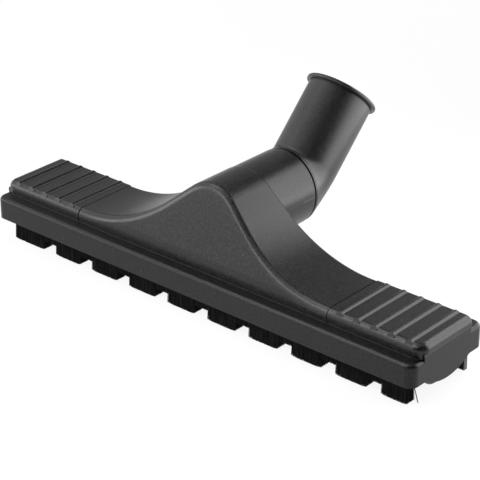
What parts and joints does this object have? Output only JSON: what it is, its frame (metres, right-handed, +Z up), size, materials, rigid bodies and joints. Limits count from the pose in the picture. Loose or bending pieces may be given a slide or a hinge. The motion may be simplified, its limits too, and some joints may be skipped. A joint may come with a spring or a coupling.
{
  "type": "hard-floor vacuum nozzle",
  "caption": "Wide vacuum nozzle for hard floors: bell-shaped cover on a brush-edged frame, ribbed end pads, small wheels and a swivel elbow with a plain tube socket.",
  "frame": {"origin": "on the floor under the middle of the head", "axes": "+X along the head, +Y to the rear where the elbow is, +Z up"},
  "size_m": [0.3, 0.147, 0.1044],
  "materials": {
    "cover_plastic": "satin black moulded plastic with a fine grain",
    "frame_plastic": "satin black moulded plastic with a fine grain",
    "pad_plastic": "satin black moulded plastic with ribs",
    "elbow_plastic": "satin black moulded plastic, smoother than the cover",
    "ring_plastic": "plain black plastic",
    "channel_plastic": "plain black plastic",
    "bristle": "black nylon bristles",
    "wheel_plastic": "black moulded plastic",
    "steel": "plain bright steel"
  },
  "bodies": {
    "head": {"top_cover": "cover_plastic", "base_frame": "frame_plastic", "left_foot_pad": "pad_plastic", "right_foot_pad": "pad_plastic", "front_brush_back": "channel_plastic", "rear_brush_back": "channel_plastic", "front_bristles": "bristle", "rear_bristles": "bristle", "front_brush_wire": "steel", "rear_brush_wire": "steel", "left_wheel_axle": "steel", "right_wheel_axle": "steel", "cover_screws": "steel"},
    "elbow": {"swivel_elbow": "elbow_plastic", "retaining_ring": "ring_plastic"},
    "left_wheel": {"left_wheel": "wheel_plastic"},
    "right_wheel": {"right_wheel": "wheel_plastic"}
  },
  "joints": [
    {"name": "elbow_swivel", "type": "hinge", "parent": "head", "child": "elbow", "pos_m": [0, 0.0512, 0.0482], "axis": [0, 1, 0], "continuous": true},
    {"name": "left_wheel_spin", "type": "hinge", "parent": "head", "child": "left_wheel", "pos_m": [-0.1392, 0, 0.0124], "axis": [1, 0, 0], "continuous": true},
    {"name": "right_wheel_spin", "type": "hinge", "parent": "head", "child": "right_wheel", "pos_m": [0.1392, 0, 0.0124], "axis": [1, 0, 0], "continuous": true}
  ]
}
